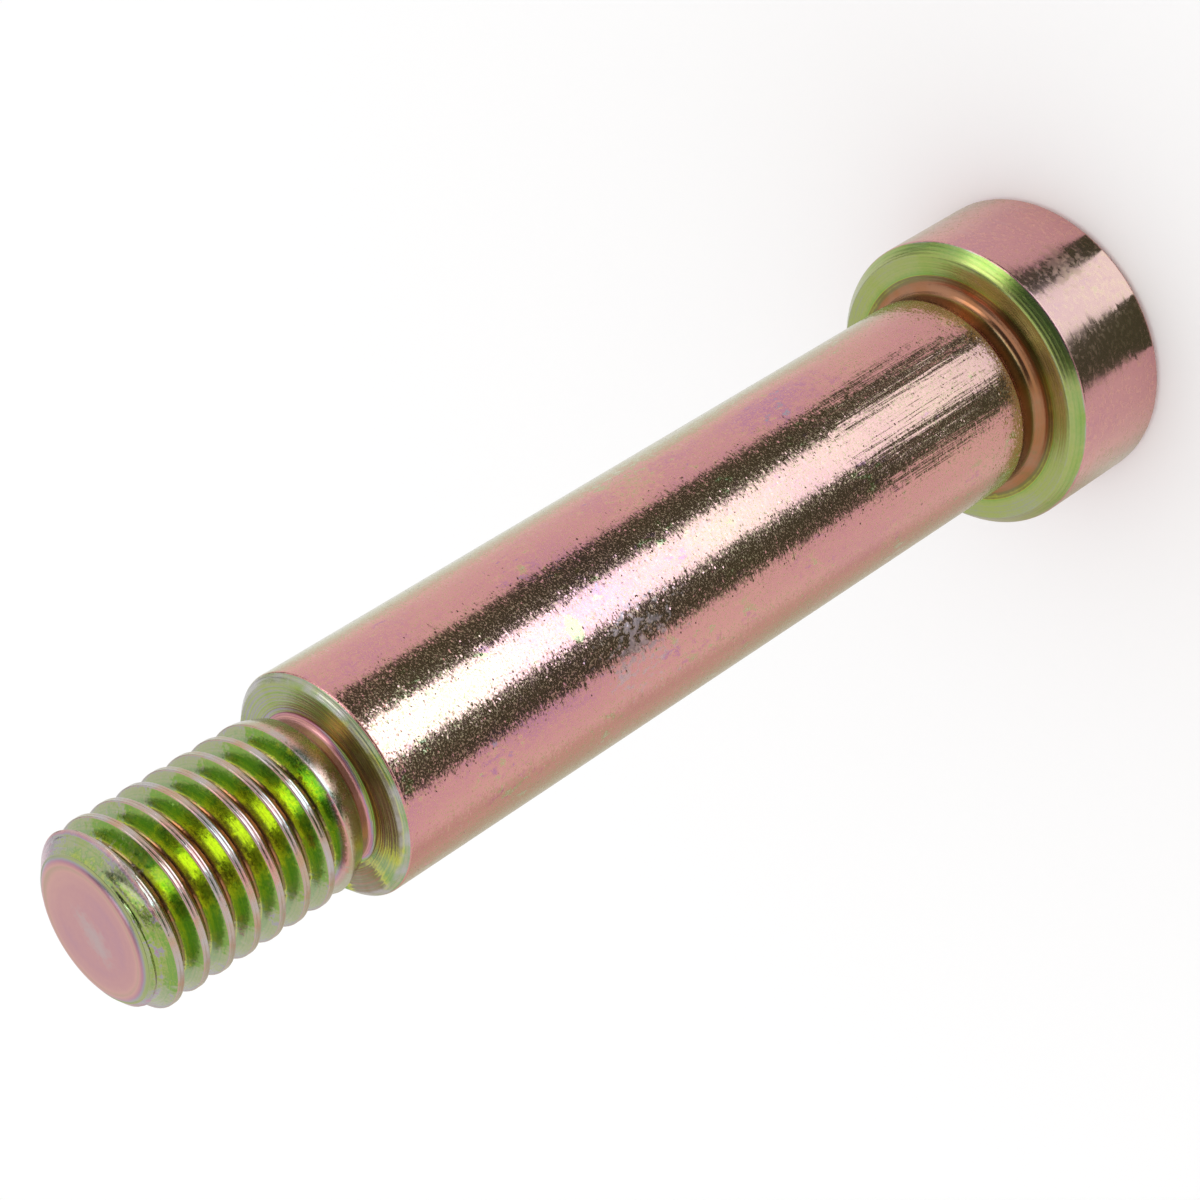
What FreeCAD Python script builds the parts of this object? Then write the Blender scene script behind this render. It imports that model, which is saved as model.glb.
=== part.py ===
"""Socket-head shoulder bolt, turned and thread-rolled in one piece.

The bolt stands on the flat top of its head, on z = 0, with its axis on Z and
the thread pointing up. Lengths are in millimetres. Radii and heights are
worked out from the sizes on the sheet, from the head upwards: the head and
its hexagon socket, the ground shoulder that a bushing or lever turns on, the
relief under the shoulder's end face, the neck, and the rolled thread.
"""

import FreeCAD, Part
import os

import Sketcher

NODE = "shoulder_bolt"
FULL_TURN = 360
HEXAGON_SIDES = 6
MATCH_GAP = 1e-5

# The driving sizes, each with what it measures.
SIZES = [
    ("head_diameter", 14.3, "across the round head"),
    ("head_height", 6.25, "from the head's top face to its bearing face"),
    ("head_rim_chamfer", 0.3, "chamfer of the head's top edge"),
    ("bearing_chamfer_width", 0.48, "chamfer round the bearing face, across"),
    ("bearing_chamfer_height", 0.6, "the same chamfer, along the axis"),
    ("socket_width", 6.0, "hexagon socket, across flats"),
    ("socket_depth", 4.3, "hexagon socket, full-width depth"),
    ("socket_mouth_diameter", 7.1, "lead-in cone at the socket's mouth"),
    ("socket_point_diameter", 5.4, "drill point under the socket, across"),
    ("socket_point_depth", 0.9, "the same drill point, along the axis"),
    ("shoulder_diameter", 10.0, "ground shoulder"),
    ("shoulder_length", 40.0, "bearing face to the shoulder's end face"),
    ("shoulder_chamfer", 0.35, "chamfer of the shoulder's end"),
    ("undercut_depth", 0.18, "grinding undercut below the shoulder's surface"),
    ("undercut_width", 1.35, "grinding undercut, along the axis"),
    ("undercut_lead", 0.3, "sloped entry of the undercut, along the axis"),
    ("undercut_fillet", 0.55, "fillet from the undercut to the bearing face"),
    ("thread_diameter", 7.88, "over the crests"),
    ("thread_length", 11.4, "shoulder's end face to the tip"),
    ("thread_pitch", 1.25, "along the axis, for one turn"),
    ("thread_depth", 0.71, "crest to root"),
    ("thread_crest", 0.26, "width of the flat crest"),
    ("thread_root", 0.17, "width of the root"),
    ("thread_start", 2.07, "shoulder's end face to the first full groove"),
    ("runout_height", 0.75, "axial travel over which the groove fades out"),
    ("runout_angle", 49.0, "how steeply the fading groove rises, in degrees"),
    ("tip_chamfer", 0.95, "lead-in chamfer at the tip"),
    ("tip_rounding", 0.5, "rounding between the tip face and its chamfer"),
    ("neck_diameter", 7.2, "plain blank beside the thread"),
    ("neck_length", 1.9, "shoulder's end face to the slope up to the crests"),
    ("neck_slope", 0.6, "slope from the neck to the crests, along the axis"),
    ("relief_diameter", 6.25, "floor of the groove between the shoulder's end and the neck"),
    ("relief_width", 0.93, "the same groove, along the axis"),
    ("relief_slope", 0.42, "its sloped side towards the neck, along the axis"),
    ("relief_fillet", 0.3, "fillet from its floor to the shoulder's end face"),
    ("cutter_overlap", 0.15, "how far a cutting form passes the surface"),
]


class Length:
    """A size together with the sheet expression that gives it."""

    def __init__(self, value, text):
        self.value = value
        self.text = text

    def __add__(self, other):
        return Length(self.value + other.value, f"({self.text} + {other.text})")

    def __sub__(self, other):
        return Length(self.value - other.value, f"({self.text} - {other.text})")

    def __mul__(self, other):
        return Length(self.value * other.value, f"({self.text} * {other.text})")

    def __truediv__(self, other):
        return Length(self.value / other.value, f"({self.text} / {other.text})")

    def __neg__(self):
        return Length(-self.value, f"(-{self.text})")

    def half(self):
        return Length(self.value / 2, f"({self.text} / 2)")


def make_sheet(doc):
    """Put the sizes on a sheet and return them by name."""
    sheet = doc.addObject("Spreadsheet::Sheet", "Sizes")
    lengths = {}
    for row, (name, value, meaning) in enumerate(SIZES, start=1):
        sheet.set(f"A{row}", meaning)
        sheet.set(f"B{row}", str(value))
        sheet.setAlias(f"B{row}", name)
        lengths[name] = Length(value, f"Sizes.{name}")
    doc.recompute()
    return lengths


def add_levels(size):
    """Work out the radii and the heights above the head's top face."""
    for name in [key for key in size if key.endswith("_diameter")]:
        size[name.replace("diameter", "radius")] = size[name].half()
    size["bearing_level"] = size["head_height"]
    size["face_level"] = size["bearing_level"] + size["shoulder_length"]
    size["tip_level"] = size["face_level"] + size["thread_length"]


def new_sketch(body, name, role):
    """A sketch on one of the body's own origin planes."""
    sketch = body.newObject("Sketcher::SketchObject", name)
    plane = next(item for item in body.Origin.OriginFeatures if item.Role == role)
    sketch.AttachmentSupport = [(plane, "")]
    sketch.MapMode = "FlatFace"
    return sketch


def fix_vertex(sketch, edge, end, across, along):
    """Hold a vertex at its two distances; None puts it on the axis."""
    for kind, place, axis in (("DistanceX", across, -2), ("DistanceY", along, -1)):
        if place is None:
            sketch.addConstraint(Sketcher.Constraint("PointOnObject", edge, end, axis))
            continue
        index = sketch.addConstraint(
            Sketcher.Constraint(kind, -1, 1, edge, end, place.value))
        sketch.setExpression(f"Constraints[{index}]", place.text)


def join(sketch, edges):
    """Join each edge's end to the next one's start, round a closed outline."""
    for edge, following in zip(edges, edges[1:] + edges[:1]):
        sketch.addConstraint(Sketcher.Constraint("Coincident", edge, 2, following, 1))


def add_outline(sketch, corners):
    """Draw a closed outline of straight edges through the corners."""
    points = [
        FreeCAD.Vector(across.value if across else 0, along.value if along else 0, 0)
        for across, along in corners
    ]
    edges = [
        sketch.addGeometry(Part.LineSegment(start, end))
        for start, end in zip(points, points[1:] + points[:1])
    ]
    join(sketch, edges)
    for edge, corner in zip(edges, corners):
        fix_vertex(sketch, edge, 1, *corner)


def turn(body, name, sketch, kind):
    """Turn a section a full circle about the bolt's axis."""
    feature = body.newObject(kind, name)
    feature.Profile = sketch
    feature.ReferenceAxis = (sketch, ["V_Axis"])
    feature.Angle = FULL_TURN
    return feature


def circle_at(shape, radius, level):
    """The name of the circular edge with this radius at this height."""
    for number, edge in enumerate(shape.Edges, start=1):
        if not isinstance(edge.Curve, Part.Circle):
            continue
        gap = abs(edge.Curve.Radius - radius.value)
        gap += abs(edge.Curve.Center.z - (level.value if level else 0))
        if gap < MATCH_GAP:
            return f"Edge{number}"
    raise ValueError(f"no circular edge of radius {radius.value}")


def add_fillet(doc, body, name, radius, level, rounding):
    """Round one circular edge."""
    doc.recompute()
    base = body.Tip
    feature = body.newObject("PartDesign::Fillet", name)
    feature.Base = (base, [circle_at(base.Shape, radius, level)])
    feature.Radius = rounding.value
    feature.setExpression("Radius", rounding.text)


def add_chamfer(doc, body, name, radius, level, width, height):
    """Chamfer one circular edge, by its width across and height along the axis."""
    doc.recompute()
    base = body.Tip
    feature = body.newObject("PartDesign::Chamfer", name)
    feature.Base = (base, [circle_at(base.Shape, radius, level)])
    feature.ChamferType = "Two distances"
    feature.Size = width.value
    feature.setExpression("Size", width.text)
    feature.Size2 = height.value
    feature.setExpression("Size2", height.text)


def add_blank(body, size):
    """The stepped blank: head, shoulder, neck and the stem for the thread."""
    neck_top = size["face_level"] + size["neck_length"]
    sketch = new_sketch(body, "blank_section", "XZ_Plane")
    add_outline(sketch, [
        (None, None),
        (size["head_radius"], None),
        (size["head_radius"], size["bearing_level"]),
        (size["shoulder_radius"], size["bearing_level"]),
        (size["shoulder_radius"], size["face_level"]),
        (size["neck_radius"], size["face_level"]),
        (size["neck_radius"], neck_top),
        (size["thread_radius"], neck_top + size["neck_slope"]),
        (size["thread_radius"], size["tip_level"]),
        (None, size["tip_level"]),
    ])
    turn(body, "blank", sketch, "PartDesign::Revolution")


def add_undercut(doc, body, size):
    """The grinding undercut, with its fillet into the bearing face."""
    bearing = size["bearing_level"]
    floor = size["shoulder_radius"] - size["undercut_depth"]
    outside = size["shoulder_radius"] + size["cutter_overlap"]
    entry = bearing + size["undercut_width"]
    sketch = new_sketch(body, "undercut_section", "XZ_Plane")
    add_outline(sketch, [
        (floor, bearing),
        (outside, bearing),
        (outside, entry),
        (size["shoulder_radius"], entry),
        (floor, entry - size["undercut_lead"]),
    ])
    turn(body, "undercut", sketch, "PartDesign::Groove")
    add_fillet(doc, body, "undercut_fillet", floor, bearing, size["undercut_fillet"])


def add_relief(doc, body, size):
    """The groove between the shoulder's end face and the neck."""
    floor = size["relief_radius"]
    face = size["face_level"]
    upper = face + size["relief_width"]
    outside = size["neck_radius"] + size["cutter_overlap"]
    sketch = new_sketch(body, "relief_section", "XZ_Plane")
    add_outline(sketch, [
        (floor, face),
        (outside, face),
        (outside, upper),
        (size["neck_radius"], upper),
        (floor, upper - size["relief_slope"]),
    ])
    turn(body, "relief", sketch, "PartDesign::Groove")
    add_fillet(doc, body, "relief_fillet", floor, face, size["relief_fillet"])


def add_socket(body, size):
    """The hexagon socket, its lead-in cone and the drill point under it."""
    sketch = new_sketch(body, "socket_hexagon", "XY_Plane")
    corner_radius = size["socket_width"].value / 3 ** 0.5
    circle = sketch.addGeometry(
        Part.Circle(FreeCAD.Vector(0, 0, 0), FreeCAD.Vector(0, 0, 1), corner_radius), True)
    sketch.addConstraint(Sketcher.Constraint("Coincident", circle, 3, -1, 1))
    index = sketch.addConstraint(Sketcher.Constraint("Radius", circle, corner_radius))
    sketch.setExpression(f"Constraints[{index}]", "Sizes.socket_width / sqrt(3)")
    spoke = FreeCAD.Vector(corner_radius, 0, 0)
    corners = [
        FreeCAD.Rotation(FreeCAD.Vector(0, 0, 1), FULL_TURN / HEXAGON_SIDES * side).multVec(spoke)
        for side in range(HEXAGON_SIDES)
    ]
    flats = [
        sketch.addGeometry(Part.LineSegment(start, end))
        for start, end in zip(corners, corners[1:] + corners[:1])
    ]
    join(sketch, flats)
    for flat in flats:
        sketch.addConstraint(Sketcher.Constraint("PointOnObject", flat, 1, circle))
    for flat in flats[1:]:
        sketch.addConstraint(Sketcher.Constraint("Equal", flats[0], flat))
    sketch.addConstraint(Sketcher.Constraint("PointOnObject", flats[0], 1, -1))
    pocket = body.newObject("PartDesign::Pocket", "socket")
    pocket.Profile = sketch
    pocket.Length = size["socket_depth"].value
    pocket.setExpression("Length", size["socket_depth"].text)
    pocket.Reversed = True

    inner = size["socket_width"].half() - size["cutter_overlap"]
    lead = new_sketch(body, "socket_lead_section", "XZ_Plane")
    add_outline(lead, [
        (None, None),
        (size["socket_mouth_radius"], None),
        (inner, size["socket_mouth_radius"] - inner),
        (None, size["socket_mouth_radius"] - inner),
    ])
    turn(body, "socket_lead", lead, "PartDesign::Groove")

    point = new_sketch(body, "socket_point_section", "XZ_Plane")
    add_outline(point, [
        (None, size["socket_depth"] - size["cutter_overlap"]),
        (size["socket_point_radius"], size["socket_depth"] - size["cutter_overlap"]),
        (size["socket_point_radius"], size["socket_depth"]),
        (None, size["socket_depth"] + size["socket_point_depth"]),
    ])
    turn(body, "socket_point", point, "PartDesign::Groove")


def add_edges(doc, body, size):
    """The chamfers and roundings of the head, the shoulder and the tip."""
    add_chamfer(doc, body, "head_rim_chamfer", size["head_radius"], None,
                size["head_rim_chamfer"], size["head_rim_chamfer"])
    add_chamfer(doc, body, "bearing_chamfer", size["head_radius"], size["bearing_level"],
                size["bearing_chamfer_width"], size["bearing_chamfer_height"])
    add_chamfer(doc, body, "shoulder_chamfer", size["shoulder_radius"], size["face_level"],
                size["shoulder_chamfer"], size["shoulder_chamfer"])
    add_chamfer(doc, body, "tip_chamfer", size["thread_radius"], size["tip_level"],
                size["tip_chamfer"], size["tip_chamfer"])
    add_fillet(doc, body, "tip_rounding", size["thread_radius"] - size["tip_chamfer"],
               size["tip_level"], size["tip_rounding"])


def helix(body, name, sketch, pitch, height):
    """Cut a section along a right-hand helix about the bolt's axis."""
    feature = body.newObject("PartDesign::SubtractiveHelix", name)
    feature.Profile = sketch
    feature.ReferenceAxis = (sketch, ["V_Axis"])
    feature.Mode = "pitch-height-angle"
    feature.Pitch = pitch.value
    feature.setExpression("Pitch", pitch.text)
    feature.Height = height.value
    feature.setExpression("Height", height.text)
    feature.LeftHanded = False
    return feature


def thread_section(body, name, size):
    """The thread groove's section, on the side of the bolt where X is negative."""
    level = size["face_level"] + size["thread_start"]
    half_root = size["thread_root"].half()
    half_gap = (size["thread_pitch"] - size["thread_crest"]).half()
    widening = (half_gap - half_root) / size["thread_depth"] * size["cutter_overlap"]
    half_mouth = half_gap + widening
    root = size["thread_depth"] - size["thread_radius"]
    mouth = -(size["thread_radius"] + size["cutter_overlap"])
    sketch = new_sketch(body, name, "XZ_Plane")
    add_outline(sketch, [
        (root, level - half_root),
        (root, level + half_root),
        (mouth, level + half_mouth),
        (mouth, level - half_mouth),
    ])
    return sketch


def add_thread(body, size):
    """The rolled thread: the run-out at the neck, then full grooves past the tip."""
    runout_sketch = thread_section(body, "runout_section", size)
    runout = helix(body, "thread_runout", runout_sketch, size["thread_pitch"], size["runout_height"])
    runout.Reversed = True
    runout.Angle = size["runout_angle"].value
    runout.setExpression("Angle", size["runout_angle"].text)
    travel = size["thread_length"] - size["thread_start"] + size["thread_pitch"]
    sketch = thread_section(body, "thread_section", size)
    helix(body, "thread", sketch, size["thread_pitch"], travel)


def check(doc, body):
    """Stop if a feature failed or the bolt isn't one sound solid."""
    for item in doc.Objects:
        if "Invalid" in item.State or "Error" in item.State:
            raise RuntimeError(f"{item.Name} failed")
    shape = body.Shape
    if shape.isNull() or not shape.isValid() or len(shape.Solids) != 1:
        raise RuntimeError(f"{body.Label} isn't one sound solid")


def main():
    """Model the bolt and write it out."""
    doc = FreeCAD.newDocument("ShoulderBolt")
    size = make_sheet(doc)
    add_levels(size)
    body = doc.addObject("PartDesign::Body", "Bolt")
    body.Label = NODE
    add_blank(body, size)
    add_undercut(doc, body, size)
    add_relief(doc, body, size)
    add_edges(doc, body, size)
    add_socket(body, size)
    add_thread(body, size)
    doc.recompute()
    check(doc, body)
    os.makedirs("parts", exist_ok=True)
    body.Shape.exportStep(f"parts/{NODE}.step")


main()
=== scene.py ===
"""The shoulder bolt as it looks: ground, rolled and turned steel under an iridescent yellow plating.

The bolt stands on its head with the thread up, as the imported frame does. Its skin is one mesh: an
outline of rows, from the tip's centre down to the socket's floor, is turned round the axis by a
node tree that also cuts the thread's helix and the hexagon. Lengths are in metres, except where
a name or a comment says millimetres.
"""

import math
from collections import namedtuple
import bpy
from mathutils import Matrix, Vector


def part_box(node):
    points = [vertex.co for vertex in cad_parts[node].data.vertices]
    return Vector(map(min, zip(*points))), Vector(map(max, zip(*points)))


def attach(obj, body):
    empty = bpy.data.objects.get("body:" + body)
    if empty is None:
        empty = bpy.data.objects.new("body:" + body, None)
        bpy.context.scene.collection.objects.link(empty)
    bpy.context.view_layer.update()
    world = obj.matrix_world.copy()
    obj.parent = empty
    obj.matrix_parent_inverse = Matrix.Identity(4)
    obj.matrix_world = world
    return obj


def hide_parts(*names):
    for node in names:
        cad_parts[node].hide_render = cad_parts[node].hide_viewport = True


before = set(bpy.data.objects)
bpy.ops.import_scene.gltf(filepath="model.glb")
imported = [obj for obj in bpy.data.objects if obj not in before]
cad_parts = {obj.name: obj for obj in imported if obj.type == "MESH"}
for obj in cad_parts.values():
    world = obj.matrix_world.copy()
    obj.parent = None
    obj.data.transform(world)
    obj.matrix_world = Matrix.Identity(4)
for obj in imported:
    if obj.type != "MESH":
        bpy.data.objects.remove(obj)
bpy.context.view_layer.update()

from types import SimpleNamespace

import bpy
from bpy.props import FloatProperty, FloatVectorProperty, IntProperty, PointerProperty

bl_info = {
    "name": "Shoulder bolt",
    "version": (1, 0, 0),
    "blender": (4, 5, 0),
    "location": "View3D > Sidebar > Shoulder bolt",
    "description": "Builds a plated shoulder bolt, its studio and its camera",
    "category": "Add Mesh",
}

NODE = "shoulder_bolt"
BODY = "root"
MM = 0.001

# points nearer to each other than this are one point of the skin
MERGE_DISTANCE = 2e-7

# the angle from which an edge stays sharp, and how steeply the groove's floor rises in the run-out
SHARP_ANGLE = math.radians(38)
RUNOUT_SLOPE = math.tan(math.radians(49))

# how convex the neck's rise to the crests is: 1 would be a plain cone
NECK_POWER = 1.7

# rows along a flank, as shares of the way up it, and on a crest, as shares of the way to its middle
FLANK_ROWS = (0.14, 0.28, 0.42, 0.56, 0.70, 0.84, 0.93)
CREST_ROWS = (0.2, 0.45, 0.65, 0.85)

# faces along each stretch of the outline
TIP_FACE_STEPS = 4
TIP_ARC_STEPS = 6
RELIEF_ARC_STEPS = 8
END_FACE_STEPS = 5
SHOULDER_STEPS = 12
UNDERCUT_ARC_STEPS = 10
BEARING_FACE_STEPS = 4
HEAD_SIDE_STEPS = 4
HEAD_TOP_STEPS = 5
CORNER_STEPS = 4

cad_low, cad_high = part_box(NODE)


def length_of(default, name, description):
    """A length in metres, shown in the sidebar."""
    return FloatProperty(name=name, description=description, default=default, min=0.0,
                         precision=5, subtype="DISTANCE", unit="LENGTH")


def colour_of(default, name, description):
    """A colour, linear, shown in the sidebar."""
    return FloatVectorProperty(name=name, description=description, default=default, size=3,
                               min=0.0, max=1.0, subtype="COLOR")


class BoltSizes(bpy.types.PropertyGroup):
    """The bolt's sizes."""

    head_diameter: length_of(cad_high.x - cad_low.x, "Head", "Across the round head")
    head_height: length_of(0.00625, "Head height", "Head's top face to its bearing face")
    head_rim: length_of(0.0003, "Head rim", "Chamfer of the head's top edge")
    bearing_chamfer_width: length_of(0.00048, "Bearing chamfer", "Round the bearing face, across")
    bearing_chamfer_height: length_of(0.0006, "Bearing chamfer height", "The same, along the axis")
    socket_width: length_of(0.006, "Socket", "Hexagon socket, across flats")
    socket_depth: length_of(0.0043, "Socket depth", "Hexagon socket, full-width depth")
    socket_mouth: length_of(0.0071, "Socket mouth", "Lead-in cone, across")
    socket_point: length_of(0.0054, "Drill point", "Under the socket, across")
    socket_point_depth: length_of(0.0009, "Drill point depth", "The same, along the axis")
    shoulder_diameter: length_of(0.010, "Shoulder", "Across the ground shoulder")
    shoulder_length: length_of(0.040, "Shoulder length", "Bearing face to end face")
    shoulder_chamfer: length_of(0.00035, "Shoulder chamfer", "At the shoulder's end")
    undercut_depth: length_of(0.00018, "Undercut", "Grinding undercut, below the shoulder")
    undercut_width: length_of(0.00135, "Undercut width", "The same, along the axis")
    undercut_lead: length_of(0.0003, "Undercut lead", "Its sloped entry, along the axis")
    undercut_fillet: length_of(0.00055, "Undercut fillet", "Into the bearing face")
    thread_diameter: length_of(0.00788, "Thread", "Over the crests")
    thread_length: length_of(0.0114, "Thread length", "Shoulder's end face to the tip")
    thread_pitch: length_of(0.00125, "Pitch", "Along the axis, for one turn")
    thread_depth: length_of(0.00071, "Thread depth", "Crest to root")
    thread_crest: length_of(0.00026, "Crest", "Width of the flat crest")
    thread_root: length_of(0.00017, "Root", "Width of the root")
    thread_start: length_of(0.00207, "Thread start", "End face to the first full groove")
    tip_chamfer: length_of(0.00095, "Tip chamfer", "Lead-in chamfer at the tip, across")
    tip_chamfer_length: length_of(0.00080, "Tip chamfer length", "The same, along the axis")
    tip_rounding: length_of(0.0005, "Tip rounding", "Between the tip's face and chamfer")
    neck_diameter: length_of(0.0072, "Neck", "Where it meets the relief groove")
    neck_length: length_of(0.0021, "Neck length", "End face to where the neck meets the crests")
    relief_diameter: length_of(0.00625, "Relief", "Floor of the groove at the end face")
    relief_width: length_of(0.00093, "Relief width", "The same groove, along the axis")
    relief_slope: length_of(0.00042, "Relief slope", "Its side towards the neck")
    relief_fillet: length_of(0.0003, "Relief fillet", "From its floor to the end face")
    edge_rounding: length_of(0.00006, "Edge rounding", "Of the plated outer edges")
    crest_rounding: length_of(0.00006, "Crest rounding", "Of the thread's crests")
    root_rounding: length_of(0.00020, "Root rounding", "Of the groove's floor")
    seam_depth: length_of(0.00002, "Crest seam", "Depth of the line that rolling leaves on a crest")
    seam_width: length_of(0.000035, "Crest seam width", "Half the width of that line")
    columns: IntProperty(name="Columns", description="Faces round the bolt", default=240, min=24)


class BoltColours(bpy.types.PropertyGroup):
    """The plating's colours, in the order in which they follow each other as it thickens."""

    straw: colour_of((0.60, 0.58, 0.44), "Straw", "Thinnest plating")
    lime: colour_of((0.48, 0.44, 0.24), "Lime", "Yellow clouds and the neck")
    tan: colour_of((0.55, 0.34, 0.23), "Tan", "Between lime and salmon")
    salmon: colour_of((0.70, 0.35, 0.30), "Salmon", "Between tan and rose")
    rose: colour_of((0.62, 0.28, 0.29), "Rose", "Most of the ground surfaces")
    mauve: colour_of((0.50, 0.22, 0.33), "Mauve", "Thick rose plating")
    slate: colour_of((0.36, 0.35, 0.38), "Slate", "Grey-blue stains")
    sage: colour_of((0.39, 0.44, 0.13), "Sage", "The bearing face and the scuffed green edges")
    leaf: colour_of((0.20, 0.38, 0.07), "Leaf green", "Rolled surfaces")
    yellow_green: colour_of((0.58, 0.59, 0.06), "Yellow-green", "The lit middle of the grooves")
    olive: colour_of((0.20, 0.17, 0.06), "Olive", "Turned corners and the thread's root")
    # painted shade, in part: the copper is darkened so that the fillet under the head looks shaded,
    # beside the thick plating's own tint
    copper: colour_of((0.38, 0.16, 0.07), "Copper", "Thickest plating, in the fillet under the head")
    bare: colour_of((0.50, 0.47, 0.47), "Bare edges", "Steel that shows where the plating is worn")


# the plating's thickness, as a plain number, at which each colour stands
FILM_STOPS = (
    (0.00, "straw"), (0.14, "lime"), (0.27, "tan"), (0.38, "salmon"), (0.48, "rose"), (0.58, "mauve"),
    (0.67, "slate"), (0.75, "sage"), (0.84, "leaf"), (1.00, "yellow_green"), (1.12, "olive"),
    (1.25, "copper"),
)
FILM_TOP = FILM_STOPS[-1][0]


# across and along place a row; helix makes it climb as the thread does, hexagon draws it out to the
# socket's corners, and lead takes it there along the lead-in cone, towards the mouth
Row = namedtuple("Row", "across along part helix hexagon lead")
PARTS = ("tip", "thread", "face", "shoulder", "bearing", "head", "socket")


def plain_row(across, along, part):
    """A row of the outline that is simply turned round the axis."""
    return Row(across, along, PARTS.index(part), 0.0, 0.0, 0.0)


def arc_rows(centre, radius, start, end, steps, part):
    """Rows along an arc of the outline, from one angle to another, in degrees."""
    rows = []
    for step in range(steps + 1):
        angle = math.radians(start + (end - start) * step / steps)
        rows.append(plain_row(centre[0] + radius * math.cos(angle),
                              centre[1] + radius * math.sin(angle), part))
    return rows


def corner_rows(before, corner, after, rounding, part, steps=CORNER_STEPS):
    """Rows that round a corner of the outline off, between its two neighbours."""
    ends = []
    for neighbour in (before, after):
        share = rounding / math.dist(neighbour, corner)
        ends.append([c + (n - c) * share for c, n in zip(corner, neighbour)])
    rows = []
    for step in range(steps + 1):
        t = step / steps
        point = [(1 - t) ** 2 * a + 2 * t * (1 - t) * c + t ** 2 * b
                 for a, c, b in zip(ends[0], corner, ends[1])]
        rows.append(plain_row(point[0], point[1], part))
    return rows


def span_rows(start, end, steps, part):
    """Rows that divide a straight stretch, without its two ends."""
    return [
        plain_row(start[0] + (end[0] - start[0]) * step / steps,
                  start[1] + (end[1] - start[1]) * step / steps, part)
        for step in range(1, steps)
    ]


def levels_of(size):
    """Radii and heights that follow from the sizes."""
    radius = {name: getattr(size, f"{name}_diameter") / 2
              for name in ("head", "shoulder", "thread", "neck", "relief")}
    bearing = size.head_height
    face = bearing + size.shoulder_length
    tip = face + size.thread_length
    turned = math.atan2(size.tip_chamfer, size.tip_chamfer_length)
    disc = radius["thread"] - size.tip_chamfer - size.tip_rounding * math.tan(turned / 2)
    half_gap = (size.thread_pitch - size.thread_crest) / 2
    return SimpleNamespace(
        **radius, bearing=bearing, face=face, tip=tip, disc=disc,
        thread_top=tip - size.tip_rounding * (1 - math.cos(turned)),
        rounding_end=90 - math.degrees(turned),
        chamfer_level=tip - size.tip_chamfer_length,
        chamfer_slope=size.tip_chamfer / size.tip_chamfer_length,
        thread_bottom=face + size.relief_width,
        groove=face + size.thread_start,
        half_root=size.thread_root / 2, half_gap=half_gap,
        flank_slope=size.thread_depth / (half_gap - size.thread_root / 2),
    )


def thread_rows(size, at):
    """Rows that climb with the helix, so that each keeps its place on the thread's section."""
    half_pitch = size.thread_pitch / 2
    flank = [at.half_root + (at.half_gap - at.half_root) * share for share in FLANK_ROWS]
    crest = [at.half_gap + (half_pitch - at.half_gap) * share for share in CREST_ROWS]
    half = [at.half_root / 2, at.half_root, *flank, at.half_gap, *crest]
    offsets = sorted([0.0, half_pitch, *half, *(-offset for offset in half)])
    low = at.thread_bottom - size.thread_pitch
    first = math.floor((low - at.groove) / size.thread_pitch) - 1
    last = math.ceil((at.thread_top - at.groove) / size.thread_pitch) + 1
    levels = [at.groove + turn * size.thread_pitch + offset
              for turn in range(first, last) for offset in offsets]
    between = [level for level in reversed(levels) if low < level < at.thread_top]
    levels = [at.thread_top, *between, low]
    return [Row(0.0, level, PARTS.index("thread"), 1.0, 0.0, 0.0) for level in levels]


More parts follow.
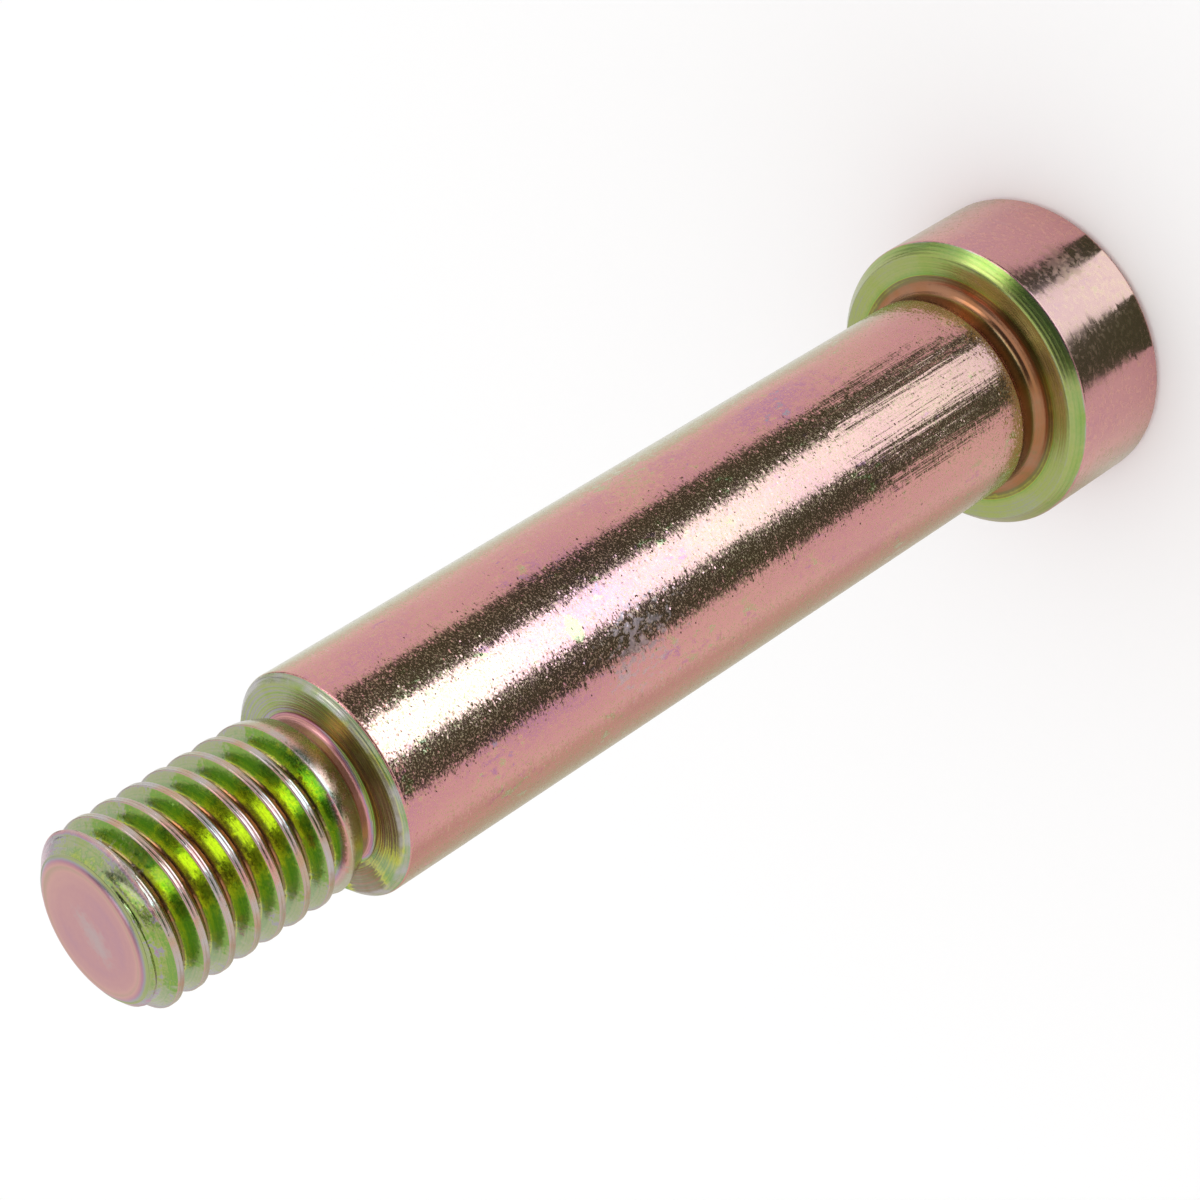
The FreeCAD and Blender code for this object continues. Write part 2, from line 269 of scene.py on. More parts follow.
def outline_rows(size):
    """The bolt's outline, from the tip's centre down the outside and up to the socket's floor."""
    at = levels_of(size)
    rounding = size.edge_rounding
    neck_edge = (at.neck, at.thread_bottom)
    relief_edge = (at.relief, at.thread_bottom - size.relief_slope)
    face_edge = (at.shoulder - size.shoulder_chamfer, at.face)
    shoulder_edge = (at.shoulder, at.face - size.shoulder_chamfer)
    undercut_edge = (at.shoulder, at.bearing + size.undercut_width)
    undercut = at.shoulder - size.undercut_depth
    undercut_floor = (undercut, undercut_edge[1] - size.undercut_lead)
    fillet_centre = (undercut + size.undercut_fillet, at.bearing + size.undercut_fillet)
    bearing_edge = (at.head - size.bearing_chamfer_width, at.bearing)
    head_edge = (at.head, at.bearing - size.bearing_chamfer_height)
    rim_edge = (at.head, size.head_rim)
    top_edge = (at.head - size.head_rim, 0.0)
    mouth = size.socket_mouth / 2
    flat = size.socket_width / 2
    socket = PARTS.index("socket")

    # the tip's centre is a hair lower, so that rounding in the merge can't lift it above its face
    rows = [plain_row(0.0, at.tip - MERGE_DISTANCE, "tip")]
    rows += span_rows((0.0, at.tip), (at.disc, at.tip), TIP_FACE_STEPS, "tip")
    rows += arc_rows((at.disc, at.tip - size.tip_rounding), size.tip_rounding, 90, at.rounding_end,
                     TIP_ARC_STEPS, "tip")
    rows += thread_rows(size, at)
    rows += [plain_row(*neck_edge, "face"), plain_row(*relief_edge, "face")]
    rows += arc_rows((at.relief + size.relief_fillet, at.face + size.relief_fillet),
                     size.relief_fillet, 180, 270, RELIEF_ARC_STEPS, "face")
    rows += span_rows((at.relief + size.relief_fillet, at.face), face_edge, END_FACE_STEPS, "face")
    rows += corner_rows((at.relief, at.face), face_edge, shoulder_edge, rounding, "face")
    rows += corner_rows(face_edge, shoulder_edge, undercut_edge, rounding, "shoulder")
    rows += span_rows(shoulder_edge, undercut_edge, SHOULDER_STEPS, "shoulder")
    rows += corner_rows(shoulder_edge, undercut_edge, undercut_floor, rounding, "shoulder")
    rows += [plain_row(*undercut_floor, "bearing")]
    rows += arc_rows(fillet_centre, size.undercut_fillet, 180, 270, UNDERCUT_ARC_STEPS, "bearing")
    rows += span_rows((fillet_centre[0], at.bearing), bearing_edge, BEARING_FACE_STEPS, "bearing")
    rows += corner_rows(fillet_centre, bearing_edge, head_edge, rounding, "bearing")
    rows += corner_rows(bearing_edge, head_edge, rim_edge, rounding, "head")
    rows += span_rows(head_edge, rim_edge, HEAD_SIDE_STEPS, "head")
    rows += corner_rows(head_edge, rim_edge, top_edge, rounding, "head")
    rows += corner_rows(rim_edge, top_edge, (mouth, 0.0), rounding, "head")
    rows += span_rows(top_edge, (mouth, 0.0), HEAD_TOP_STEPS, "head")
    rows += [
        plain_row(mouth, 0.0, "socket"),
        Row(flat, mouth - flat, socket, 0.0, 1.0, 1.0),
        Row(flat, (mouth + size.socket_depth) / 2, socket, 0.0, 1.0, 0.0),
        Row(flat, size.socket_depth, socket, 0.0, 1.0, 0.0),
        plain_row(size.socket_point / 2, size.socket_depth, "socket"),
        plain_row(0.0, size.socket_depth + size.socket_point_depth, "socket"),
    ]
    return rows


class Wiring:
    """Adds nodes to a tree. A value fed to a node is a number, a vector or another node's socket."""

    def __init__(self, tree):
        self.tree = tree

    def feed(self, socket, value):
        """Links a socket to another one, or sets its value."""
        if isinstance(value, bpy.types.NodeSocket):
            self.tree.links.new(value, socket)
        elif value is not None:
            socket.default_value = value

    def node(self, kind, inputs=None, **settings):
        """A node with its settings, and with its inputs fed by name or number."""
        made = self.tree.nodes.new(kind)
        for name, value in settings.items():
            setattr(made, name, value)
        for key, value in (inputs or {}).items():
            self.feed(made.inputs[key], value)
        return made

    def math(self, operation, *values):
        """One sum on numbers."""
        made = self.node("ShaderNodeMath", dict(enumerate(values)), operation=operation)
        return made.outputs[0]

    def map(self, value, low, high, to_low=0.0, to_high=1.0, smooth=False):
        """A value's place between two numbers, as a place between two others."""
        made = self.node("ShaderNodeMapRange",
                         {"Value": value, "From Min": low, "From Max": high,
                          "To Min": to_low, "To Max": to_high},
                         interpolation_type="SMOOTHSTEP" if smooth else "LINEAR")
        return made.outputs["Result"]

    def mix(self, share, first, second):
        """A number between two others."""
        made = self.node("ShaderNodeMix", {"Factor": share, "A": first, "B": second})
        return made.outputs["Result"]

    def blend(self, share, first, second):
        """A colour between two others."""
        made = self.node("ShaderNodeMix", {"Factor": share}, data_type="RGBA")
        self.feed(made.inputs[6], first)
        self.feed(made.inputs[7], second)
        return made.outputs[2]

    def ramp(self, share, stops):
        """A colour ramp through stops, each a place from 0 to 1 and a colour."""
        made = self.node("ShaderNodeValToRGB", {"Fac": share})
        elements = made.color_ramp.elements
        while len(elements) < len(stops):
            elements.new(0.5)
        for element, (place, colour) in zip(elements, stops):
            element.position = place
            element.color = (*colour, 1.0)
        return made.outputs[0]

    def group(self, tree, inputs):
        """The outputs of a shared group that is fed by name."""
        return self.node("ShaderNodeGroup", inputs, node_tree=tree).outputs

    def vector(self, operation, *values, scale=None):
        """One sum on vectors."""
        made = self.node("ShaderNodeVectorMath", dict(enumerate(values)), operation=operation)
        self.feed(made.inputs[3], scale)
        return made.outputs["Value" if operation == "LENGTH" else "Vector"]

    def noise(self, vector, scale, detail, stretch):
        """Noise with its grain stretched along the axes."""
        place = self.vector("MULTIPLY", vector, stretch)
        made = self.node("ShaderNodeTexNoise", {"Vector": place, "Scale": scale, "Detail": detail})
        return made.outputs[0]

    def bump(self, height, strength, distance, normal):
        """A normal, tilted by a height."""
        made = self.node("ShaderNodeBump", {"Height": height, "Strength": strength,
                                            "Distance": distance, "Normal": normal})
        return made.outputs[0]

    def split(self, vector):
        """A vector's three numbers."""
        return self.node("ShaderNodeSeparateXYZ", {"Vector": vector}).outputs

    def azimuth(self, x, y):
        """The direction round the axis, in degrees."""
        return self.math("MULTIPLY", self.math("ARCTAN2", y, x), math.degrees(1.0))

    def band(self, value, low, high, soft):
        """1 between two numbers, with soft ends."""
        rise = self.map(value, low - soft, low + soft, smooth=True)
        fall = self.map(value, high - soft, high + soft, 1.0, 0.0, smooth=True)
        return self.math("MULTIPLY", rise, fall)


def new_tree(name, kind, inputs, outputs):
    """A node tree with named sockets, and its two end nodes."""
    tree = bpy.data.node_groups.new(name, kind)
    for label, socket, default in inputs:
        made = tree.interface.new_socket(label, in_out="INPUT", socket_type=socket)
        if default is not None:
            made.default_value = default
    for label, socket in outputs:
        tree.interface.new_socket(label, in_out="OUTPUT", socket_type=socket)
    entry = tree.nodes.new("NodeGroupInput")
    leave = tree.nodes.new("NodeGroupOutput")
    return tree, entry.outputs, leave.inputs


def thread_radius(w, given, along, turn):
    """The thread's radius at a height and a share of a turn: the blank less the rolled groove."""
    # the blank: the cylinder over the crests, the neck's convex rise and the tip's chamfer
    fallen = w.math("POWER", w.map(along, given["Thread Bottom"], given["Neck Top"], 1.0, 0.0),
                    given["Neck Power"])
    drop = w.math("SUBTRACT", given["Thread Radius"], given["Neck Radius"])
    neck = w.math("SUBTRACT", given["Thread Radius"], w.math("MULTIPLY", fallen, drop))
    beyond = w.math("SUBTRACT", given["Chamfer Level"], along)
    chamfer = w.math("MULTIPLY_ADD", beyond, given["Chamfer Slope"], given["Thread Radius"])
    blank = w.math("MINIMUM", neck, chamfer)

    # the nearest groove, whose floor rises out of the steel in the run-out
    centre = w.math("MULTIPLY_ADD", turn, given["Pitch"], given["Groove Level"])
    apart = w.math("SUBTRACT", along, centre)
    half_pitch = w.math("MULTIPLY", given["Pitch"], 0.5)
    off_centre = w.math("PINGPONG", apart, half_pitch)
    nearest = w.math("SNAP", w.math("ADD", apart, half_pitch), given["Pitch"])
    groove_level = w.math("ADD", centre, nearest)
    fade = w.math("MAXIMUM", w.math("SUBTRACT", given["Full Groove Level"], groove_level), 0.0)
    root = w.math("MULTIPLY_ADD", fade, given["Run-out Slope"], given["Root Radius"])
    up_flank = w.math("SMOOTH_MAX", w.math("SUBTRACT", off_centre, given["Half Root"]), 0.0,
                      given["Root Rounding"])
    groove = w.math("MULTIPLY_ADD", up_flank, given["Flank Slope"], root)
    cut = w.math("SMOOTH_MIN", blank, groove, given["Crest Rounding"])

    # the line that rolling leaves along the crest, which starts with the full thread
    from_crest = w.math("DIVIDE", w.math("SUBTRACT", half_pitch, off_centre), given["Seam Width"])
    dip = w.math("EXPONENT", w.math("MULTIPLY", w.math("MULTIPLY", from_crest, from_crest), -1.0))
    crest_level = w.math("ADD", w.math("ADD", centre, half_pitch), w.math("SNAP", apart, given["Pitch"]))
    past_runout = w.math("SUBTRACT", crest_level, given["Full Groove Level"])
    on_crest = w.map(past_runout, half_pitch, given["Pitch"])
    depth = w.math("MULTIPLY", w.math("MULTIPLY", dip, on_crest), given["Seam Depth"])
    return w.math("SUBTRACT", cut, depth)


def turning_numbers(size):
    """What the turning tree needs to know, by the names of its inputs."""
    at = levels_of(size)
    return {
        "Pitch": size.thread_pitch,
        "Groove Level": at.groove + size.thread_pitch / 2,
        "Full Groove Level": at.groove,
        "Run-out Slope": RUNOUT_SLOPE,
        "Root Radius": at.thread - size.thread_depth,
        "Half Root": at.half_root,
        "Flank Slope": at.flank_slope,
        "Thread Radius": at.thread,
        "Neck Radius": at.neck,
        "Neck Top": at.face + size.neck_length,
        "Neck Power": NECK_POWER,
        "Chamfer Level": at.chamfer_level,
        "Chamfer Slope": at.chamfer_slope,
        "Thread Bottom": at.thread_bottom,
        "Thread Top": at.thread_top,
        "Crest Rounding": size.crest_rounding,
        "Root Rounding": size.root_rounding,
        "Seam Width": size.seam_width,
        "Seam Depth": size.seam_depth,
        "Half Flats": size.socket_width / 2,
    }


def build_turning_tree(numbers):
    """Turns an outline round the axis, with the thread's helix and the socket's hexagon."""
    inputs = [("Outline", "NodeSocketGeometry", None), ("Columns", "NodeSocketInt", 240)]
    inputs += [(name, "NodeSocketFloat", 0.0) for name in numbers]
    inputs += [(f"{part.capitalize()} Finish", "NodeSocketMaterial", None) for part in PARTS]
    outputs = [("Bolt", "NodeSocketGeometry")]
    tree, given, leave = new_tree("Turned bolt", "GeometryNodeTree", inputs, outputs)
    w = Wiring(tree)
    outline_size = w.node("GeometryNodeAttributeDomainSize", {"Geometry": given["Outline"]})
    count = outline_size.outputs["Point Count"]
    stations = w.math("ADD", given["Columns"], 1.0)
    grid = w.node("GeometryNodeMeshGrid", {"Vertices X": count, "Vertices Y": stations}).outputs["Mesh"]
    index = w.node("GeometryNodeInputIndex").outputs[0]
    middle = w.math("ADD", index, 0.5)
    row = w.math("FLOOR", w.math("DIVIDE", middle, stations))
    face_row = w.math("FLOOR", w.math("DIVIDE", middle, given["Columns"]))
    column = w.math("SUBTRACT", index, w.math("MULTIPLY", row, stations))
    turn = w.math("SUBTRACT", w.math("DIVIDE", column, given["Columns"]), 0.5)
    angle = w.math("MULTIPLY", turn, math.tau)

    def from_outline(value, kind, row=row):
        sample = w.node("GeometryNodeSampleIndex", {"Geometry": given["Outline"], "Index": row},
                        data_type=kind)
        w.feed(sample.inputs["Value"], value)
        return sample.outputs["Value"]

    def named(name, kind="FLOAT"):
        made = w.node("GeometryNodeInputNamedAttribute", {"Name": name}, data_type=kind)
        return made.outputs["Attribute"]

    position = w.node("GeometryNodeInputPosition").outputs[0]
    across, _, along = w.split(from_outline(position, "FLOAT_VECTOR"))
    helix = from_outline(named("helix"), "FLOAT")
    hexagon = from_outline(named("hexagon"), "FLOAT")
    lead = from_outline(named("lead"), "FLOAT")
    part = from_outline(named("part", "INT"), "INT", face_row)

    climbed = w.math("MULTIPLY_ADD", w.math("ADD", turn, 0.5), given["Pitch"], along)
    held = w.math("MINIMUM", w.math("MAXIMUM", climbed, given["Thread Bottom"]), given["Thread Top"])
    on_thread = w.mix(helix, along, held)
    rolled = thread_radius(w, given, on_thread, turn)
    radius = w.mix(helix, across, rolled)

    sixth = math.tau / 6
    from_corner = w.math("PINGPONG", angle, sixth / 2)
    to_flat = w.math("SUBTRACT", sixth / 2, from_corner)
    to_wall = w.math("DIVIDE", given["Half Flats"], w.math("COSINE", to_flat))
    reach = w.math("MULTIPLY", w.math("SUBTRACT", to_wall, given["Half Flats"]), hexagon)
    radius = w.math("ADD", radius, reach)
    height = w.math("SUBTRACT", on_thread, w.math("MULTIPLY", reach, lead))

    spot = w.node("ShaderNodeCombineXYZ", {
        "X": w.math("MULTIPLY", radius, w.math("COSINE", angle)),
        "Y": w.math("MULTIPLY", radius, w.math("SINE", angle)),
        "Z": height,
    }).outputs[0]
    turned = w.node("GeometryNodeSetPosition", {"Geometry": grid, "Position": spot}).outputs[0]
    turned = w.node("GeometryNodeStoreNamedAttribute",
                    {"Geometry": turned, "Name": "part", "Value": part},
                    data_type="INT", domain="FACE").outputs[0]
    finished = w.node("GeometryNodeMergeByDistance",
                      {"Geometry": turned, "Distance": MERGE_DISTANCE}).outputs[0]
    for kind in ("GeometryNodeSetShadeSmooth", "GeometryNodeRealizeInstances"):
        finished = w.node(kind, {"Geometry": finished}).outputs[0]
    on_face = named("part", "INT")
    for number, name in enumerate(PARTS):
        chosen = w.node("FunctionNodeCompare", {2: on_face, 3: number},
                        data_type="INT", operation="EQUAL")
        finished = w.node("GeometryNodeSetMaterial", {
            "Geometry": finished, "Selection": chosen.outputs[0],
            "Material": given[f"{name.capitalize()} Finish"],
        }).outputs[0]
    w.feed(leave["Bolt"], finished)
    return tree


def make_outline(size):
    """The outline as a loose mesh that carries each row's part and rules."""
    rows = outline_rows(size)
    mesh = bpy.data.meshes.new("bolt_outline")
    mesh.from_pydata([(row.across, 0.0, row.along) for row in rows], [], [])
    for name, kind in (("part", "INT"), ("helix", "FLOAT"), ("hexagon", "FLOAT"), ("lead", "FLOAT")):
        attribute = mesh.attributes.new(name, kind, "POINT")
        attribute.data.foreach_set("value", [getattr(row, name) for row in rows])
    outline = bpy.data.objects.new("bolt_outline", mesh)
    bpy.context.scene.collection.objects.link(outline)
    return outline


def turn_bolt(size, finishes):
    """The bolt's skin: the outline, turned by the node tree, as one plain closed mesh."""
    outline = make_outline(size)
    numbers = turning_numbers(size)
    tree = build_turning_tree(numbers)
    values = {"Columns": size.columns, **numbers}
    for part, finish in zip(PARTS, finishes):
        values[f"{part.capitalize()} Finish"] = finish
    modifier = outline.modifiers.new("turned", "NODES")
    modifier.node_group = tree
    for item in tree.interface.items_tree:
        if item.in_out == "INPUT" and item.name in values:
            modifier[item.identifier] = values[item.name]
    bpy.context.view_layer.update()
    graph = bpy.context.evaluated_depsgraph_get()
    mesh = bpy.data.meshes.new_from_object(outline.evaluated_get(graph), depsgraph=graph)
    outline.modifiers.remove(modifier)
    bpy.data.objects.remove(outline)
    mesh.name = "bolt_skin"
    mesh.set_sharp_from_angle(angle=SHARP_ANGLE)
    bolt = bpy.data.objects.new("bolt_skin", mesh)
    bpy.context.scene.collection.objects.link(bolt)
    return bolt


def new_material(name):
    """An empty node material, its wiring helper and its Principled shader."""
    material = bpy.data.materials.new(name)
    material.use_nodes = True
    material.node_tree.nodes.clear()
    w = Wiring(material.node_tree)
    shader = w.node("ShaderNodeBsdfPrincipled")
    w.node("ShaderNodeOutputMaterial", {"Surface": shader.outputs[0]})
    return material, w, shader


# noises that drift the plating's thickness: scale, stretch and detail
DRIFTS = (
    ("Clouds", 170.0, (1.0, 1.0, 0.6), 4.0),
    ("Streaks", 900.0, (1.0, 1.0, 0.12), 4.0),
    ("Specks", 5200.0, (1.0, 1.0, 1.0), 1.0),
)

# flecks stand in clusters: each kind has a scale and a change of thickness
FLECKS = ((2300.0, -1.0), (2900.0, 0.55))
CLUSTER_SCALE = 420.0


def build_plating_group(colours):
    """The plating's colour: a thickness that drifts in clouds, streaks and flecks gives its tint."""
    tree, given, leave = new_tree(
        "Plating", "ShaderNodeTree",
        [("Vector", "NodeSocketVector", None), ("Thickness", "NodeSocketFloat", 0.45),
         ("Clouds", "NodeSocketFloat", 0.1), ("Streaks", "NodeSocketFloat", 0.05),
         ("Specks", "NodeSocketFloat", 0.05), ("Flecks", "NodeSocketFloat", 0.1),
         ("Bare", "NodeSocketFloat", 0.0)],
        [("Color", "NodeSocketColor")])
    w = Wiring(tree)
    vector = given["Vector"]
    thickness = given["Thickness"]
    for name, scale, stretch, detail in DRIFTS:
        noise = w.noise(vector, scale, detail, stretch)
        drift = w.math("MULTIPLY", w.math("SUBTRACT", noise, 0.5), given[name])
        thickness = w.math("ADD", thickness, drift)
    clusters = w.map(w.noise(vector, CLUSTER_SCALE, 2.0, (1.0, 1.0, 0.8)), 0.50, 0.66, smooth=True)
    for scale, shift in FLECKS:
        fleck = w.map(w.noise(vector, scale, 3.0, (1.0, 1.0, 0.6)), 0.56, 0.66, smooth=True)
        amount = w.math("MULTIPLY", w.math("MULTIPLY", fleck, clusters),
                        w.math("MULTIPLY", given["Flecks"], shift))
        thickness = w.math("ADD", thickness, amount)
    tint = w.ramp(w.math("DIVIDE", thickness, FILM_TOP),
                  [(place / FILM_TOP, getattr(colours, name)) for place, name in FILM_STOPS])
    w.feed(leave["Color"], w.blend(given["Bare"], tint, (*colours.bare, 1.0)))
    return tree


def build_crystal_group():
    """Small facets of the plating, each tilted a little its own way, and a mask of coarse grains."""
    tree, given, leave = new_tree(
        "Crystals", "ShaderNodeTree",
        [("Vector", "NodeSocketVector", None), ("Size", "NodeSocketFloat", 0.00012),
         ("Tilt", "NodeSocketFloat", 0.3), ("Strokes", "NodeSocketFloat", 0.1),
         ("Stretch", "NodeSocketVector", (1.0, 1.0, 1.3))],
        [("Normal", "NodeSocketVector"), ("Coarse", "NodeSocketFloat")])
    w = Wiring(tree)
    frequency = w.math("DIVIDE", 1.0, given["Size"])
    normal = w.node("ShaderNodeNewGeometry").outputs["Normal"]
    for key, stretch, share in (("Tilt", given["Stretch"], 1.0), ("Strokes", (0.2, 0.2, 1.2), 0.9)):
        cell = w.node("ShaderNodeTexVoronoi", {
            "Vector": w.vector("MULTIPLY", given["Vector"], stretch),
            "Scale": w.math("MULTIPLY", frequency, share),
        })
        lean = w.vector("SUBTRACT", cell.outputs["Color"], (0.5, 0.5, 0.5))
        length = w.vector("LENGTH", lean)
        curved = w.math("POWER", w.math("MULTIPLY", length, 2.0), 4.0)
        shaped = w.vector("SCALE", lean, scale=w.math("MULTIPLY", curved, given[key]))
        normal = w.vector("ADD", normal, shaped)
    grains = w.noise(given["Vector"], frequency, 2.0, given["Stretch"])
    w.feed(leave["Normal"], w.vector("NORMALIZE", normal))
    w.feed(leave["Coarse"], w.map(grains, 0.50, 0.66, smooth=True))
    return tree


def build_around_group():
    """Distance from the bolt's axis, and a height of fine turned rings round it."""
    tree, given, leave = new_tree(
        "Around the axis", "ShaderNodeTree",
        [("Vector", "NodeSocketVector", None), ("Ring Size", "NodeSocketFloat", 0.00008)],
        [("Radius", "NodeSocketFloat"), ("Rings", "NodeSocketFloat")])
    w = Wiring(tree)
    radius = w.vector("LENGTH", w.vector("MULTIPLY", given["Vector"], (1.0, 1.0, 0.0)))
    frequency = w.math("DIVIDE", 1.0, given["Ring Size"])
    rings = w.node("ShaderNodeTexNoise", {"W": radius, "Scale": frequency, "Detail": 3.0},
                   noise_dimensions="1D").outputs[0]
    w.feed(leave["Radius"], radius)
    w.feed(leave["Rings"], rings)
    return tree


# scale of the noise that frays a patch's edge
FRAY_SCALE = 3800.0


def build_patch_group():
    """A ragged patch at a place on the bolt: 1 in its middle, 0 outside."""
    tree, given, leave = new_tree(
        "Patch", "ShaderNodeTree",
        [("Vector", "NodeSocketVector", None), ("Centre", "NodeSocketVector", None),
         ("Reach", "NodeSocketVector", (0.001, 0.001, 0.001)), ("Ragged", "NodeSocketFloat", 0.5),
         ("Edge", "NodeSocketFloat", 0.3)],
        [("Mask", "NodeSocketFloat")])
    w = Wiring(tree)
    away = w.vector("DIVIDE", w.vector("SUBTRACT", given["Vector"], given["Centre"]), given["Reach"])
    distance = w.vector("LENGTH", away)
    noise = w.math("SUBTRACT", w.noise(given["Vector"], FRAY_SCALE, 6.0, (1.0, 1.0, 0.7)), 0.5)
    ragged = w.math("MULTIPLY_ADD", w.math("MULTIPLY", noise, 3.0), given["Ragged"], distance)
    mask = w.map(ragged, w.math("SUBTRACT", 1.0, given["Edge"]), 1.0, 1.0, 0.0, smooth=True)
    w.feed(leave["Mask"], mask)
    return tree


# the plating looks thinner where the surface turns away, partly the film's own shift with angle
# and partly a painted pale sheen at the limbs: from and to this share
GRAZING_RANGE = (0.58, 0.90)

# scales of the noises that break up worn edges and the drag marks, and the marks' depth
WEAR_SCALE = 900.0
DRAG_SCALE = 2400.0
DRAG_DEPTH = 0.08 * MM


def value_by_radius(w, radius, stops):
    """A value that follows the distance from the axis, between stops in millimetres."""
    low, high = stops[0][0], stops[-1][0]
    greys = [((place - low) / (high - low), [value / FILM_TOP] * 3) for place, value in stops]
    return w.math("MULTIPLY", w.ramp(w.map(radius, low * MM, high * MM), greys), FILM_TOP)


def patch_mask(w, groups, patch, vector, size):
    """A patch's mask, from its angle and distance off the axis and its distance from the end face."""
    radius = patch.off_axis * MM
    angle = math.radians(patch.angle)
    height = levels_of(size).face - patch.along * MM
    return w.group(groups.patch, {
        "Vector": vector,
        "Centre": (radius * math.cos(angle), radius * math.sin(angle), height),
        "Reach": [reach * MM for reach in patch.reach],
        "Ragged": patch.ragged,
        "Edge": patch.edge,
    })[0]


def placed_values(w, look, size, vector, radius):
    """A part's plating thickness and bare share, as they change with height and radius."""
    height = w.split(vector)["Z"]
    if look.from_blank:
        at = levels_of(size)
        cone_foot = at.thread + at.chamfer_level * at.chamfer_slope
        cone = w.math("MULTIPLY_ADD", height, -at.chamfer_slope, cone_foot)
        radius = w.math("SUBTRACT", w.math("MINIMUM", cone, at.thread), radius)
    film = look.film
    if isinstance(film, tuple):
        film = value_by_radius(w, radius, film)
    for low, high, value in look.by_height:
        film = w.mix(w.map(height, low * MM, high * MM, 1.0, 0.0), film, value)
    bare = look.bare
    if isinstance(bare, tuple):
        wear = w.map(w.noise(vector, WEAR_SCALE, 4.0, (1.0, 1.0, 1.0)), 0.35, 0.65)
        bare = w.math("MULTIPLY", value_by_radius(w, radius, bare), wear)
    if look.worn:
        low, high, share = look.worn
        bare = w.math("MULTIPLY", bare, w.map(height, low * MM, high * MM, share, 1.0))
    return film, bare


def make_finish(part, groups, look, size):
    """One part's finish: the shared plating on facets of its own."""
    material, w, shader = new_material(f"plated_{part}")
    vector = w.node("ShaderNodeTexCoord").outputs["Object"]
    radius, rings = w.group(groups.around, {"Vector": vector, "Ring Size": look.ring_size})
    normal, coarse = w.group(groups.crystals, {
        "Vector": vector, "Size": look.grain, "Tilt": look.tilt, "Strokes": look.strokes,
        "Stretch": look.stretch,
    })

    film, bare = placed_values(w, look, size, vector, radius)
    facing = w.node("ShaderNodeLayerWeight", {"Blend": 0.5}).outputs["Facing"]
    # painted sheen: paler plating where the surface turns away, on top of the film's own shift with
    # angle
    film = w.math("SUBTRACT", film, w.map(facing, *GRAZING_RANGE, 0.0, look.grazing))
    film = w.math("SUBTRACT", film, w.math("MULTIPLY", coarse, look.glint))
    film = w.math("ADD", film, w.math("MULTIPLY", w.math("SUBTRACT", rings, 0.5), look.rings))
    roughness = look.roughness
    if look.coarse:
        roughness = w.math("MULTIPLY_ADD", coarse, look.coarse, roughness)
    for patch in look.patches:
        mask = patch_mask(w, groups, patch, vector, size)
        film = w.math("MULTIPLY_ADD", mask, patch.film, film)
        if patch.bare:
            bare = w.math("MAXIMUM", bare, w.math("MULTIPLY", mask, patch.bare))
        if patch.rough:
            roughness = w.math("MULTIPLY_ADD", mask, patch.rough, roughness)

    normal = w.bump(rings, look.ring_bump, look.ring_size, normal)
    if look.drag:
        marks = w.noise(vector, DRAG_SCALE, 3.0, (1.0, 1.0, 0.05))
        mask = patch_mask(w, groups, look.drag, vector, size)
        normal = w.bump(marks, mask, DRAG_DEPTH, normal)
        roughness = w.math("MULTIPLY_ADD", mask, look.drag.rough, roughness)
    tint = w.group(groups.plating, {
        "Vector": vector, "Thickness": film, "Clouds": look.clouds, "Streaks": look.streaks,
        "Specks": look.specks, "Flecks": look.flecks, "Bare": bare,
    })[0]
    for name, value in (("Base Color", tint), ("Metallic", 1.0), ("Roughness", roughness),
                        ("Normal", normal)):
        w.feed(shader.inputs[name], value)
    return material


def look_of(film, **changes):
    """A finish's values: the ground ones, with changes.

    film is the plating's thickness and bare the share of bare steel: each is a number, or stops by
    the distance from the axis in millimetres, and from_blank measures that inwards from the blank.
    by_height and worn change them between two heights in millimetres. drag is the patch of drag
    marks, grazing thins the plating where the surface turns away, partly its own shift with angle and
    partly a painted pale sheen, and the other numbers are the shares, sizes and tilts of the plating's
    own pattern.
    """
    values = dict(film=film, bare=0.0, clouds=0.34, streaks=0.10, specks=0.04, flecks=0.24,
                  grain=0.08 * MM, tilt=0.045, strokes=0.02, stretch=(0.9, 0.9, 1.2), glint=0.20,
                  grazing=0.27, rings=0.0, ring_size=0.10 * MM, ring_bump=0.0, roughness=0.14,
                  coarse=0.24, patches=(), by_height=(), worn=None, drag=None, from_blank=False)
    values.update(changes)
    return SimpleNamespace(**values)


